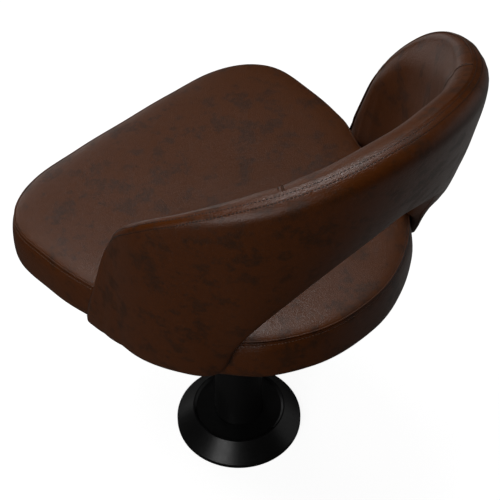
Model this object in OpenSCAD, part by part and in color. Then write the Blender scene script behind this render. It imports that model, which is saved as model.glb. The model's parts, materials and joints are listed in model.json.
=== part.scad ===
// Pedestal swivel armchair: a round floor base and column, a crowned seat, and a tub back
// whose two wings drop past the seat's sides and leave an arched opening behind it.
// The chair faces -Y, +Z is up, and the origin is on the floor on the column's axis.

/* [Seat] */
// Height of the seat's top seam above the floor
seat_h = 450; // [400:1:500]
// Depth of the seat's side, from the top seam to the underside
seat_t = 76; // [66:1:90]
// Rise of the seat's crown over its seam
seat_crown = 12; // [4:1:25]
// Half depth of the seat, from the column's axis to its side band at the rear corners
seat_r = 228.5; // [200:0.5:260]
// How far the side band of the seat swells past its seams
seat_swell = 7; // [3:0.5:8]
// Thickness of the plywood board under the foam
board_t = 15; // [12:1:20]

/* [Tub back] */
// Rise of the back's top edge over the seat's top seam
back_rise = 335.5; // [290:0.5:380]
// Drop of the wings' lowest edge below the seat's top seam
wing_drop = 61; // [56:0.5:66]
// How far the tub's outer face stands outside the seat's sides
tub_out = 65; // [58:0.5:75]
// Distance of the tub's centre behind the column's axis
tub_back = 40; // [36:1:44]
// Turn of the wings' front corners from straight behind the tub's centre, in degrees
wing_turn = 107; // [103:1:108]
// How far the outside of the tub swells between its edges
tub_swell = 5; // [2:0.5:7]
// Thickness of the padded back at its middle
tub_t = 46; // [40:1:52]
// Thickness of the moulded shell inside the back
shell_t = 8; // [5:1:10]
// Thickness of the leather and its backing on the outside
cover_t = 2.5; // [2:0.5:3]

/* [Pedestal] */
// Outer radius of the base cover
base_r = 93; // [85:1:105]
// Height of the base cover's top lip
base_h = 31.5; // [26:0.5:40]
// Height of the upright rim at the foot of the base cover
rim_h = 7; // [4:0.5:10]
// Radius of the base cover's top lip
lip_r = 68.5; // [62:0.5:74]
// Outer radius of the column
column_r = 35; // [30:0.5:38]
// Wall of the column
column_wall = 3; // [2:0.5:5]
// Radius of the spindle that the seat turns on
spindle_r = 20; // [15:0.5:24]
// Radius of the circle that the floor bolts stand on
bolt_circle_r = 62; // [56:1:68]
// Radius of each floor bolt hole
bolt_hole_r = 5.5; // [4:0.5:7]

/* [Hidden] */

// Gap between soft pieces and their neighbours, and how far a cut runs past a face
gap = 0.3;
cut_over = 1;
// Running clearance of the spindle in its bushes
run_gap = 0.05;
round_fn = 96;
small_fn = 32;
coarse_fn = 12;
full_turn = 360;
half_turn = 180;
quarter_turn = 90;

function mix(a, b, t) = a + (b - a) * t;
function clamp(x, lo, hi) = min(max(x, lo), hi);
function flip(list) = [for (i = [len(list) - 1:-1:0]) list[i]];

// A table read at a fractional row, with a smooth curve through its rows. Before its first row
// the table goes on as its own mirror image, with the turn in the first column negated.
function row(tab, i) = i < 0 ? [for (k = [0:len(tab[0]) - 1]) k == 0 ? -tab[-i][0] : tab[-i][k]]
    : i > len(tab) - 1 ? 2 * tab[len(tab) - 1] - tab[len(tab) - 2] : tab[i];
function smooth(a, b, c, d, t) =
    (2 * b + (c - a) * t + (2 * a - 5 * b + 4 * c - d) * t * t + (3 * b - a - 3 * c + d) * t * t * t) / 2;
function read(tab, s) = let (i = clamp(floor(s), 0, len(tab) - 2))
    smooth(row(tab, i - 1), row(tab, i), row(tab, i + 1), row(tab, i + 2), s - i);

// Side faces between one ring of points and the next, each four cut along the shorter diagonal.
// Where the two are about as long, the left half takes one and the right half its mirror image.
tie_share = 0.002;
function belt(points, a, b, n) = [for (i = [0:n - 1])
    let (a0 = a + i, a1 = a + (i + 1) % n, b0 = b + i, b1 = b + (i + 1) % n,
        side = points[a0][0] + points[b1][0] < 0 ? -1 : 1)
    each norm(points[a0] - points[b1]) < norm(points[a1] - points[b0]) * (1 - side * tie_share)
        ? [[a0, b0, b1], [a0, b1, a1]] : [[a0, b0, a1], [a1, b0, b1]]];

// End face of a ring: its first points are joined to its last ones, pair by pair, and the
// spare points between them to the last pair
function end_cap(a, n, spare) = let (pairs = (n - spare) / 2)
    concat([for (i = [0:pairs - 2]) each
        [[a + i, a + i + 1, a + n - 2 - i], [a + i, a + n - 2 - i, a + n - 1 - i]]],
        [for (i = [pairs - 1:1:pairs + spare - 2]) [a + i, a + i + 1, a + n - pairs]]);

// Closed skin through rings of equal length, each ring a closed loop of points
module loft(rings, spare = 0) {
    n = len(rings[0]);
    m = len(rings);
    points = [for (r = rings) each r];
    polyhedron(points, concat([for (j = [0:m - 2]) each belt(points, j * n, (j + 1) * n, n)],
        end_cap(0, n, spare), [for (f = end_cap((m - 1) * n, n, spare)) flip(f)]));
}

// Like loft, but the last ring joins the first, as round a hoop
module hoop(rings) {
    n = len(rings[0]);
    m = len(rings);
    points = [for (r = rings) each r];
    polyhedron(points, [for (j = [0:m - 1]) each belt(points, j * n, ((j + 1) % m) * n, n)]);
}

// A point at a turn about the tub's centre, 0 straight behind and + to the sitter's left
function tub_point(turn, r, z) = [r * sin(turn), tub_back + r * cos(turn), z];

// Seat outline: turn from straight behind as a share of half a turn, and radius from the tub's
// centre as a share of seat_r. The sides run beside the wings, then widen to the front corners.
seat_outline_shares = [[0, 0.817], [0.083, 0.824], [0.167, 0.83], [0.25, 0.846], [0.333, 0.863],
    [0.417, 0.865], [0.5, 0.868], [0.544, 0.911], [0.583, 0.996], [0.622, 1.069], [0.678, 1.196],
    [0.728, 1.34], [0.761, 1.384], [0.794, 1.379], [0.833, 1.336], [0.906, 1.23], [1, 1.179]];
seat_steps = 2;
front_row = len(seat_outline_shares) - 1;
// A last row that mirrors the one before the front centre keeps the outline level there
mirror_shares = [2 - seat_outline_shares[front_row - 1][0], seat_outline_shares[front_row - 1][1]];
seat_curve = concat(seat_outline_shares, [mirror_shares]);
seat_half = [for (s = [0:1 / seat_steps:front_row]) read(seat_curve, s)];
seat_ring = concat([for (p = seat_half) [-p[0], p[1]]],
    [for (i = [len(seat_half) - 2:-1:1]) seat_half[i]]);
function seat_side(turn) = seat_r * lookup(abs(turn) / half_turn, seat_outline_shares);

// Seat levels: depth in from the outline, height, and the share of the side's swell there
seat_low = seat_h - seat_t;
cord_r = 1.2;
boxing_t = 3;
under_r = 26;
belly_share = 0.56;
upper_swell_share = 0.75;
side_levels = [[under_r, seat_low, 0], [under_r * 0.45, seat_low + under_r * 0.08, 0.2],
    [under_r * 0.16, seat_low + under_r * 0.33, 0.5], [0, seat_low + under_r * 0.72, 0.8],
    [0, seat_low + seat_t * belly_share, 1], [0, seat_low + seat_t * 0.82, upper_swell_share],
    [0, seat_h - cord_r - gap, 0.1]];

// The share of the swell by turn in degrees: the wings hold it back where they stand on the side
swell_shares = [[0, 0.75], [25, 0.8], [42, 1.15], [54, 0.45], [106, 0.35], [118, 0.8], [half_turn, 0.8]];
function swell(turn) = seat_swell * lookup(abs(turn), swell_shares);

// One level of the seat: inset from the outline, height, size of the ring and share of the swell
function seat_loop(inset, z, ring_share = 1, swell_share = 0) = [for (p = seat_ring)
    let (turn = p[0] * half_turn)
    tub_point(turn, (seat_r * p[1] - inset + swell(turn) * swell_share) * ring_share, z)];

// Tub stations from straight behind to the wing's front edge: turn as a share of wing_turn, height
// as a share of the rise from the wings' low edge to the top, and distance out from the seat's
// side as a share of tub_out. First along the top edge, then along the low edge.
wing_low = seat_h - wing_drop;
tub_top = seat_h + back_rise;
side_share = 0.867;
top_edge_shares = [[0, 1, 1.032], [0.107, 0.994, 1.035], [0.22, 0.969, 1.026], [0.349, 0.923, 0.978],
    [0.449, 0.88, 0.921], [0.537, 0.835, 0.88], [0.609, 0.789, 0.854], [0.672, 0.743, 0.835],
    [0.734, 0.682, 0.798], [0.788, 0.61, 0.672], [0.828, 0.543, 0.555], [0.85, 0.498, 0.494],
    [0.869, 0.459, 0.494]];
low_edge_shares = [[0, 0.612, 0.614], [0.112, 0.582, 0.6], [0.224, 0.512, 0.586],
    [0.347, 0.376, 0.511], [0.43, 0.254, 0.422], [0.481, 0.144, 0.269], [0.514, 0.045, 0.186],
    [0.57, 0.018, 0.273], [0.673, 0.018, 0.408], [0.785, 0.014, 0.494], [0.897, 0.007, 0.443],
    [0.963, 0, 0.267], [1, 0, 0.171]];
top_edge = [for (p = top_edge_shares)
    [p[0] * wing_turn, mix(wing_low, tub_top, p[1]), seat_r * side_share + p[2] * tub_out]];
low_edge = [for (p = low_edge_shares)
    [p[0] * wing_turn, mix(wing_low, tub_top, p[1]), seat_side(p[0] * wing_turn) + p[2] * tub_out]];

// Place along the band, then thickness as shares of tub_t at the top roll, in the middle and at
// the low edge, and the share of the outer swell
thick_shares = [[0, 1.033, 1.04, 0.7, 1], [0.083, 1.035, 1.04, 0.7, 1], [0.167, 0.967, 1.03, 0.68, 1],
    [0.25, 0.815, 1.01, 0.62, 1], [0.333, 0.667, 1, 0.5, 1], [0.417, 0.496, 0.97, 0.38, 0.9],
    [0.5, 0.378, 0.93, 0.3, 0.8], [0.583, 0.313, 0.89, 0.32, 0.6], [0.667, 0.283, 0.85, 0.36, 0.4],
    [0.75, 0.283, 0.82, 0.38, 0.2], [0.833, 0.228, 0.76, 0.32, 0], [0.917, 0.161, 0.66, 0.24, 0],
    [1, 0.113, 0.5, 0.19, 0]];
last_station = len(top_edge) - 1;
seam_station = 3;
seam_half_share = 0.01;
tub_steps = 2;

// The wing's front edge is a half round: past the round's start the section thins to its middle
round_rows_share = 0.5;
round_start = last_station - round_rows_share;
round_shares = [0.5, 0.8, 0.94];
end_thin_share = 0.2;
function round_off(s) = let (x = clamp((abs(s) - round_start) / round_rows_share, 0, 1))
    max(sqrt(1 - x * x), end_thin_share);

// Station: top turn, height and radius, low turn, height and radius, three thicknesses, swell
// share and the share that the front edge's round leaves of the thickness
function station(s) = let (a = abs(s), side = s < 0 ? -1 : 1, t = read(top_edge, a),
    b = read(low_edge, a), k = read(thick_shares, a))
    [side * t[0], t[1], t[2], side * b[0], b[1], b[2], k[1] * tub_t, k[2] * tub_t, k[3] * tub_t,
     k[4], round_off(s)];
function station_length(q) = norm(tub_point(q[0], q[2], q[1]) - tub_point(q[3], q[5], q[4]));
function outer_r(q, v) = mix(q[5], q[2], v) + 4 * tub_swell * max(v * (1 - v), 0) * q[9];
function turn_at(q, v) = mix(q[3], q[0], v);
function height_at(q, v) = mix(q[4], q[1], v);

// Room left beside the seat for the brackets, which closes towards the wings' front edge
bracket_t = 4;
bracket_gap = 0.5;
wing_gap = 0.9;
bracket_angle = 60;
bracket_end_angle = 84;
spare_angle = 2;
open_angle = 52;
tight_angle = 94;
side_room = bracket_t + 4 * bracket_gap;
room_by_turn = [[open_angle, wing_gap], [bracket_angle - spare_angle, side_room],
    [bracket_end_angle + spare_angle, side_room], [tight_angle, wing_gap]];
function beside_seat(turn) = seat_side(turn) + swell(turn) + lookup(abs(turn), room_by_turn);
seat_clear = 4;
thin_edge = 6;

// Depth of the tub's inner face at share v of a station's length
function face_depth(q, v) = let (
    base = mix(q[8], q[6], v),
    bulge = (q[7] - base) * pow(max(sin(half_turn * pow(clamp(v, 0, 1), 0.8)), 0), 0.6),
    free = base + max(bulge, 0),
    room = outer_r(q, v) - beside_seat(turn_at(q, v)),
    lift = clamp((height_at(q, v) - seat_h - seat_clear) / seat_crown, 0, 1))
    max(min(free, mix(min(free, room), free, lift)), thin_edge);

// A point of a station, w along it and at depth d behind the outer surface, where the band is t
// thick. The front edge's round draws the point towards the middle of that thickness.
function deep(q, n, w, d, t) = tub_point(turn_at(q, w / n), outer_r(q, w / n) - mix(t / 2, d, q[10]),
    height_at(q, w / n));
function at_level(q, n, w, d) = deep(q, n, w, d, face_depth(q, w / n));

// The roll over the top edge and the one along the low edge: angle 0 faces out, 180 faces in
function top_roll(q, n, angle, inset = 0) = let (r = q[6] / 2, k = (r - inset))
    deep(q, n, n - r + k * sin(angle), r - k * cos(angle), q[6]);
low_edge_share = 0.03;
function low_depth(q) = face_depth(q, low_edge_share);
function low_roll(q, n, angle, inset = 0) = let (r = low_depth(q) / 2, k = (r - inset))
    deep(q, n, r - k * sin(angle), r - k * cos(angle), 2 * r);

seam_angle = 75;
seam_open_angle = 2;
low_seam_angle = 50;
low_seam_open_angle = 10;
cover_angles = [0, 25, 50, seam_angle];

// Levels between the two rolls, which the outer leather, the shell and the pads share
roll_clear = 3;
level_shares = [0, 0.2, 0.4, 0.6, 0.8, 1];
function level(q, n, t) = mix(low_depth(q) / 2 + roll_clear, n - q[6] / 2 - roll_clear, t);

// Outline of the outer leather: up the outside, then back down at the leather's thickness
function cover_side(q, n, d) = concat([for (a = [low_seam_angle, 0]) low_roll(q, n, a, d)],
    [for (t = level_shares) at_level(q, n, level(q, n, t), d)],
    [for (a = cover_angles) top_roll(q, n, a, d)]);
function cover_section(s) = let (q = station(s), n = station_length(q))
    concat(cover_side(q, n, 0), flip(cover_side(q, n, cover_t)));

// The moulded shell stands between the two rolls, behind the leather
seam_gap = 2 * gap;
shell_out = cover_t + seam_gap;
shell_station = round_start;
function shell_depth(q, v) = min(shell_out + shell_t, face_depth(q, v) - seam_gap - cover_t / 2);
function shell_section(s) = let (q = station(s), n = station_length(q))
    concat([for (t = level_shares) at_level(q, n, level(q, n, t), shell_out)],
        [for (t = flip(level_shares)) let (w = level(q, n, t)) at_level(q, n, w, shell_depth(q, w / n))]);

// Foam and leather in front of the shell: over the top roll, down the face and round the low
// roll, then up behind. Past the shell's end the pad reaches back to the outer leather.
pad_angles = [95, 115, 135, 155, 180];
face_shares = [0.86, 0.7, 0.52, 0.36, 0.24, 0.16, 0.1];
low_angles = [180, 140, 105, low_seam_angle + low_seam_open_angle];
behind_shares = concat([0], level_shares, [1]);
function pad_back(s, q, v) = abs(s) > shell_station ? shell_out : shell_depth(q, v) + seam_gap;
function pad_section(s) = let (q = station(s), n = station_length(q), last = len(behind_shares) - 1)
    concat([top_roll(q, n, seam_angle + seam_open_angle)],
        [for (t = pad_angles) top_roll(q, n, t)],
        [for (v = face_shares) at_level(q, n, n * v, face_depth(q, v))],
        [for (t = low_angles) low_roll(q, n, t)],
        [for (t = [low_seam_angle, 0]) low_roll(q, n, t, shell_out)],
        [for (i = [0:last]) let (side = i < last / 2 ? -gap : gap,
            w = level(q, n, behind_shares[i]) + (i < 2 || i > last - 2 ? side : 0))
            at_level(q, n, w, i == 0 || i == last ? shell_out : pad_back(s, q, w / n))],
        [for (t = cover_angles) top_roll(q, n, t, shell_out)]);

// Every band has rings at the same stations, so neighbours share their facets
function plain_stations(from_s, to_s) = concat([from_s],
    [for (i = [floor(from_s * tub_steps) + 1:ceil(to_s * tub_steps) - 1]) i / tub_steps], [to_s]);
function round_stations() = [for (x = round_shares) round_start + x * round_rows_share];
function stations(from_s, to_s) = concat(
    from_s < -round_start ? concat([from_s], -1 * flip(round_stations())) : [],
    plain_stations(max(from_s, -round_start), min(to_s, round_start)),
    to_s > round_start ? concat(round_stations(), [to_s]) : []);
module pad(from_s, to_s) {
    front = len(pad_angles) + len(face_shares) + len(low_angles) + 1;
    sections = [for (s = stations(from_s, to_s)) pad_section(s)];
    loft(sections, 2 * front - len(sections[0]));
}

leather = [0.23, 0.14, 0.11];
leather_dark = [0.16, 0.09, 0.07];
steel_black = [0.06, 0.06, 0.065];
steel = [0.6, 0.6, 0.62];
cloth_black = [0.05, 0.05, 0.05];

// Pedestal sizes that follow from the ones above, from the seat plate down
seat_plate_t = 6;
seat_plate_w = 180;
corner_r = 18;
dust_t = 1;
seat_plate_z = seat_low - dust_t - seat_plate_t;
head_t = 17;
head_r = 34;
washer_t = 3;
bush_flange_t = 3;
head_z = seat_plate_z - head_t;
column_top = head_z - washer_t - bush_flange_t;
bush_wall = column_r - column_wall - spindle_r;
bush_h = 26;
bearing_span = 148;
bush_low = column_top - bearing_span;
keeper_t = 3;
keeper_gap = 0.5;
spindle_low = bush_low - keeper_gap;
seat_bolt_r = 4;
seat_bolt_edge = 20;
seat_bolt_at = seat_plate_w / 2 - seat_bolt_edge;
bolt_head_r = 6.5;
bolt_head_t = 5;
hex_fn = 6;
board_low = seat_low + boxing_t + gap;
board_top = board_low + board_t;

// Base sizes
plate_edge = 5;
plate_r = base_r - plate_edge;
plate_t = 6;
cover_wall = 2.5;
recess = 3;
lip_w = 2;
floor_bolts = 4;
gusset_t = 5;
gusset_w = 20;
gusset_h = base_h - recess - cover_wall - plate_t - gap;

// A washer, bush or tube: a round with a round hole, standing on the given height
module ring(z, r, hole_r, h) {
    translate([0, 0, z]) difference() {
        cylinder(r = r, h = h, $fn = round_fn);
        translate([0, 0, -cut_over]) cylinder(r = hole_r, h = h + 2 * cut_over, $fn = round_fn);
    }
}

// A hole along Z through something of thickness t
module hole(r, t) {
    translate([0, 0, -cut_over]) cylinder(r = r, h = t + 2 * cut_over, $fn = small_fn);
}

module at_seat_bolts() {
    for (x = [-1, 1], y = [-1, 1]) translate([x * seat_bolt_at, y * seat_bolt_at, 0]) children();
}

module floor_plate() {
    color(steel_black) difference() {
        cylinder(r = plate_r, h = plate_t, $fn = round_fn);
        for (i = [0:floor_bolts - 1]) rotate((i + 0.5) * full_turn / floor_bolts)
            translate([bolt_circle_r, 0, 0]) hole(bolt_hole_r, plate_t);
    }
}

module base_gussets() {
    color(steel_black) for (i = [0:floor_bolts - 1]) rotate(i * full_turn / floor_bolts)
        translate([column_r, gusset_t / 2, plate_t]) rotate([quarter_turn, 0, 0])
            linear_extrude(gusset_t) polygon([[0, 0], [gusset_w, 0], [0, gusset_h]]);
}

module base_cover() {
    inner_r = column_r + gap;
    dish_r = lip_r - lip_w - recess;
    dish_z = base_h - recess;
    color(steel_black) rotate_extrude($fn = round_fn) polygon([
        [base_r, 0], [base_r, rim_h], [lip_r, base_h], [lip_r - lip_w, base_h], [dish_r, dish_z],
        [inner_r, dish_z], [inner_r, dish_z - cover_wall], [lip_r - cover_wall, dish_z - cover_wall],
        [base_r - cover_wall, rim_h - cover_wall / 2], [base_r - cover_wall, 0]]);
}

module column_tube() {
    color(steel_black) ring(plate_t, column_r, column_r - column_wall, column_top - plate_t);
}

module lower_bush() {
    color("ivory") ring(bush_low, column_r - column_wall, spindle_r + run_gap, bush_h);
}

module upper_bush() {
    color("ivory") difference() {
        union() {
            translate([0, 0, column_top - bush_h])
                cylinder(r = column_r - column_wall, h = bush_h, $fn = round_fn);
            translate([0, 0, column_top]) cylinder(r = column_r, h = bush_flange_t, $fn = round_fn);
        }
        translate([0, 0, column_top - bush_h - cut_over])
            cylinder(r = spindle_r + run_gap, h = bush_h + bush_flange_t + 2 * cut_over, $fn = round_fn);
    }
}

module thrust_washer() {
    color(steel) ring(column_top + bush_flange_t, head_r, spindle_r + gap, washer_t);
}

module spindle() {
    color(steel) difference() {
        union() {
            translate([0, 0, spindle_low])
                cylinder(r = spindle_r, h = head_z - spindle_low, $fn = round_fn);
            translate([0, 0, head_z]) cylinder(r = head_r, h = head_t, $fn = round_fn);
        }
        translate([0, 0, spindle_low]) hole(seat_bolt_r, bush_h);
    }
}

module spindle_washer() {
    color(steel) ring(spindle_low - keeper_t, spindle_r + bush_wall / 2, seat_bolt_r, keeper_t);
}

module hex_bolt(length) {
    cylinder(r = seat_bolt_r, h = length, $fn = small_fn);
    translate([0, 0, -bolt_head_t]) cylinder(r = bolt_head_r, h = bolt_head_t, $fn = hex_fn);
}

module spindle_bolt() {
    color(steel) translate([0, 0, spindle_low - keeper_t]) hex_bolt(keeper_t + bush_h);
}

module seat_plate() {
    inner_w = seat_plate_w - 2 * corner_r;
    color(steel_black) translate([0, 0, seat_plate_z]) difference() {
        linear_extrude(seat_plate_t) union() {
            square([seat_plate_w, inner_w], center = true);
            square([inner_w, seat_plate_w], center = true);
            for (x = [-1, 1], y = [-1, 1]) translate([x, y] * inner_w / 2) circle(r = corner_r, $fn = 48);
        }
        at_seat_bolts() hole(seat_bolt_r, seat_plate_t);
    }
}

module plate_bolts() {
    color(steel) at_seat_bolts() translate([0, 0, seat_plate_z]) hex_bolt(board_top - seat_plate_z);
}

nut_flange_r = 11;
nut_flange_t = 1.5;
module tee_nuts() {
    color(steel) at_seat_bolts() ring(board_top, nut_flange_r, seat_bolt_r, nut_flange_t);
}

// A flat sheet of the seat's outline, drawn in by an inset, with the plate's bolt holes
module seat_sheet(inset, z, t) {
    translate([0, 0, z]) difference() {
        linear_extrude(t) polygon([for (p = seat_loop(inset, 0)) [p[0], p[1]]]);
        at_seat_bolts() hole(seat_bolt_r, t);
    }
}

board_inset = 18;
module seat_board() { color("burlywood") seat_sheet(board_inset, board_low, board_t); }
module dust_cover() { color(cloth_black) seat_sheet(under_r, seat_low - dust_t, dust_t); }

// A plate that bends round the tub's centre, between two radii, heights and turns
module arc_plate(r1, r2, z1, z2, turn1, turn2) {
    translate([0, tub_back, z1]) rotate(quarter_turn - turn2)
        rotate_extrude(angle = turn2 - turn1, $fn = 2 * round_fn)
            translate([r1, 0]) square([r2 - r1, z2 - z1]);
}

// Timber rails on the board's sides, and the brackets that join each wing to its rail
rail_t = 22;
rail_drop = 18;
rail_out = seat_side(bracket_end_angle) - boxing_t - 2 * gap;
rail_in = rail_out - rail_t;
rail_top = seat_h - rail_drop;
bracket_drop = 12;
bracket_h = 40;
bracket_r = seat_side(bracket_end_angle) + swell(bracket_end_angle) + bracket_gap;
bracket_top = seat_h - bracket_drop;

// The screws start in the rail and end in the middle of the shell, on two of the tub's stations
screw_r = 3;
screw_in = 14;
screw_rows_share = [7.4, 8.5];
screw_drop = 29;
module at_screws(extra = 0) {
    for (s = screw_rows_share) {
        q = station(s);
        v = (seat_h - screw_drop - q[4]) / (q[1] - q[4]);
        tip = outer_r(q, v) - (shell_out + shell_depth(q, v)) / 2;
        translate([0, tub_back, seat_h - screw_drop]) rotate(quarter_turn - turn_at(q, v))
            translate([bracket_r - screw_in, 0, 0]) rotate([0, quarter_turn, 0])
                screw(tip - bracket_r + screw_in, extra);
    }
}
module screw(length, extra) {
    cylinder(r = screw_r + extra, h = length + extra, $fn = extra > 0 ? coarse_fn : small_fn);
}
module both_sides() { for (side = [0, 1]) mirror([side, 0, 0]) children(); }

module side_rail_left() {
    color("burlywood") difference() {
        arc_plate(rail_in, rail_out, board_top, rail_top, bracket_angle - spare_angle,
            bracket_end_angle + spare_angle);
        at_screws();
    }
}
module side_rail_right() { mirror([1, 0, 0]) side_rail_left(); }

module side_bracket_left() {
    color(steel_black) difference() {
        arc_plate(bracket_r, bracket_r + bracket_t, bracket_top - bracket_h, bracket_top, bracket_angle,
            bracket_end_angle);
        at_screws();
    }
}
module side_bracket_right() { mirror([1, 0, 0]) side_bracket_left(); }

module bracket_bolts_left() { color(steel) at_screws(); }
module bracket_bolts_right() { mirror([1, 0, 0]) bracket_bolts_left(); }

// The crown, from the seam to the middle: how far in, and how high, as shares
crown_shares = [[0, 0], [0.018, 0.27], [0.05, 0.5], [0.12, 0.72], [0.27, 0.9], [0.5, 0.98], [0.8, 1]];
panel_t = 1.8;
panel_low = seat_h + cord_r + gap;
panel_levels = [for (p = crown_shares) [1 - p[0], mix(panel_low, seat_h + seat_crown, p[1])]];
under_levels = [for (i = [0:2:len(panel_levels) - 1]) panel_levels[i]];
module seat_top_panel() {
    color(leather) loft(concat([for (p = flip(under_levels)) seat_loop(boxing_t, p[1] - panel_t, p[0])],
        [for (p = panel_levels) seat_loop(0, p[1], p[0])]));
}

module seat_boxing() {
    inner_levels = [for (p = flip(side_levels)) if (p[2] != upper_swell_share) p];
    color(leather) difference() {
        hoop(concat([for (p = side_levels) seat_loop(p[0], p[1], 1, p[2])],
            [for (p = inner_levels) seat_loop(p[0] + boxing_t,
                p[1] + (p[0] > 0 ? boxing_t / 2 : 0), 1, p[2])]));
        both_sides() at_screws(extra = gap);
    }
}

module seat_welt() {
    color(leather_dark) hoop([for (a = [0:full_turn / hex_fn:full_turn - 1])
        seat_loop(-cord_r * cos(a), seat_h + cord_r * sin(a))]);
}

module seat_core() {
    core_in = boxing_t + seam_gap;
    core_swell_share = 0.8;
    color("wheat") difference() {
        loft(concat([seat_loop(core_in, board_top + gap, 1, 0.7),
            seat_loop(core_in, seat_low + seat_t * belly_share, 1, core_swell_share),
            seat_loop(core_in, seat_h - cord_r - gap)],
            [for (p = under_levels) seat_loop(core_in, p[1] - panel_t - gap, p[0])]));
        at_seat_bolts() translate([0, 0, board_top])
            cylinder(r = nut_flange_r + gap, h = nut_flange_t + gap, $fn = small_fn);
        both_sides() arc_plate(rail_in - gap, seat_side(bracket_angle) + seat_swell, board_low,
            rail_top + gap, bracket_angle - 2 * spare_angle, bracket_end_angle + 2 * spare_angle);
    }
}

module tub_shell() {
    color("tan") difference() {
        loft([for (s = stations(-shell_station, shell_station)) shell_section(s)]);
        both_sides() at_screws();
    }
}
module outer_cover() {
    color(leather_dark) loft([for (s = stations(-last_station, last_station)) cover_section(s)]);
}
module back_pad() {
    color(leather) pad(seam_half_share - seam_station, seam_station - seam_half_share);
}
module arm_pad_left() {
    color(leather) difference() {
        pad(seam_station + seam_half_share, last_station);
        at_screws(extra = gap);
    }
}
module arm_pad_right() { mirror([1, 0, 0]) arm_pad_left(); }

// Thin cords that close the two seams of the outer leather
seam_cord_r = 0.7;
cord_out = seam_cord_r + gap / 2;
function cord_ring(q, n, w, d) = [for (a = [0:full_turn / hex_fn:full_turn - 1])
    at_level(q, n, w + seam_cord_r * cos(a), d + seam_cord_r * sin(a))];
module top_welt() {
    color(leather_dark) loft([for (s = stations(-round_start, round_start)) let (q = station(s),
        n = station_length(q), r = q[6] / 2, a = seam_angle + seam_open_angle / 2)
        cord_ring(q, n, n - r + (r + cord_out) * sin(a), r - (r + cord_out) * cos(a))]);
}
piping_station = 6;
module edge_piping() {
    color(leather_dark) loft([for (s = stations(-piping_station, piping_station)) let (q = station(s),
        n = station_length(q), r = low_depth(q) / 2, a = low_seam_angle + low_seam_open_angle / 2)
        cord_ring(q, n, r - (r + cord_out) * sin(a), r - (r + cord_out) * cos(a))]);
}

floor_plate();
base_gussets();
base_cover();
column_tube();
lower_bush();
upper_bush();
thrust_washer();
spindle();
spindle_washer();
spindle_bolt();
seat_plate();
plate_bolts();
tee_nuts();
seat_board();
side_rail_left();
side_rail_right();
dust_cover();
seat_core();
seat_top_panel();
seat_boxing();
seat_welt();
side_bracket_left();
side_bracket_right();
bracket_bolts_left();
bracket_bolts_right();
tub_shell();
outer_cover();
back_pad();
arm_pad_left();
arm_pad_right();
top_welt();
edge_piping();
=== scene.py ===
import json
import math

import bpy
import numpy as np
from mathutils import Matrix, Quaternion, Vector


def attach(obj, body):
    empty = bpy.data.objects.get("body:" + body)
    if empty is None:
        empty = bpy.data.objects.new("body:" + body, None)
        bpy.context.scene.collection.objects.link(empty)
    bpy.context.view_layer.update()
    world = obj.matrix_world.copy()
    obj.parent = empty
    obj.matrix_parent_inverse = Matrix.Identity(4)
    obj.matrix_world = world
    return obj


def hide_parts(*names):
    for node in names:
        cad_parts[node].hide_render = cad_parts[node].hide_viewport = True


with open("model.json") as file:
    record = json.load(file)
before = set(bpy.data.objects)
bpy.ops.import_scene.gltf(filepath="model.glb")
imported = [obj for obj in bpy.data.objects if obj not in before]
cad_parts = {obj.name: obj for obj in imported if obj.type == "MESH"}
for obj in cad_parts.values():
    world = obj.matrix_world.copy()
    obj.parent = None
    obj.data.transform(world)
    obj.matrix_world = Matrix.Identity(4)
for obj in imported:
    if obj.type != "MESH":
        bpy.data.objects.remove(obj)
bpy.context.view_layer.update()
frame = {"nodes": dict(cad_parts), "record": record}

# The chair faces -Y, +Z is up, and the origin is on the floor on the column's axis. Metres.
MM = 0.001
SEAT_H = 450 * MM
SEAT_T = 76 * MM
SEAT_CROWN = 12 * MM
SEAT_R = 228.5 * MM
SEAT_SWELL = 7 * MM
BACK_RISE = 335.5 * MM
WING_DROP = 61 * MM
TUB_OUT = 65 * MM
TUB_BACK = 40 * MM
WING_TURN = 107
TUB_SWELL = 5 * MM
TUB_T = 46 * MM

# Seat outline: turn from straight behind as a share of half a turn, radius from the tub's centre
# as a share of SEAT_R.
OUTLINE_SHARES = np.array([
    [0, 0.817], [0.083, 0.824], [0.167, 0.83], [0.25, 0.846], [0.333, 0.863], [0.417, 0.865],
    [0.5, 0.868], [0.544, 0.911], [0.583, 0.996], [0.622, 1.069], [0.678, 1.196], [0.728, 1.34],
    [0.761, 1.384], [0.794, 1.379], [0.833, 1.336], [0.906, 1.23], [1, 1.179]])

# The share of the side's swell by turn in degrees
SWELL_SHARES = np.array([
    [0, 0.75], [25, 0.8], [42, 1.15], [54, 0.45], [106, 0.35], [118, 0.8], [180, 0.8]])

# Tub stations from straight behind to the wing's front edge: turn as a share of WING_TURN, height
# as a share of the rise from the wings' low edge to the top, distance out from the seat's side as
# a share of TUB_OUT.
TOP_SHARES = np.array([
    [0, 1, 1.032], [0.107, 0.994, 1.035], [0.22, 0.969, 1.026], [0.349, 0.923, 0.978],
    [0.449, 0.88, 0.921], [0.537, 0.835, 0.88], [0.609, 0.789, 0.854], [0.672, 0.743, 0.835],
    [0.734, 0.682, 0.798], [0.788, 0.61, 0.672], [0.828, 0.543, 0.555], [0.85, 0.498, 0.494],
    [0.869, 0.459, 0.494]])
LOW_SHARES = np.array([
    [0, 0.612, 0.614], [0.112, 0.582, 0.6], [0.224, 0.512, 0.586], [0.347, 0.376, 0.511],
    [0.43, 0.254, 0.422], [0.481, 0.144, 0.269], [0.514, 0.045, 0.186], [0.57, 0.018, 0.273],
    [0.673, 0.018, 0.408], [0.785, 0.014, 0.494], [0.897, 0.007, 0.443], [0.963, 0, 0.267],
    [1, 0, 0.171]])

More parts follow.
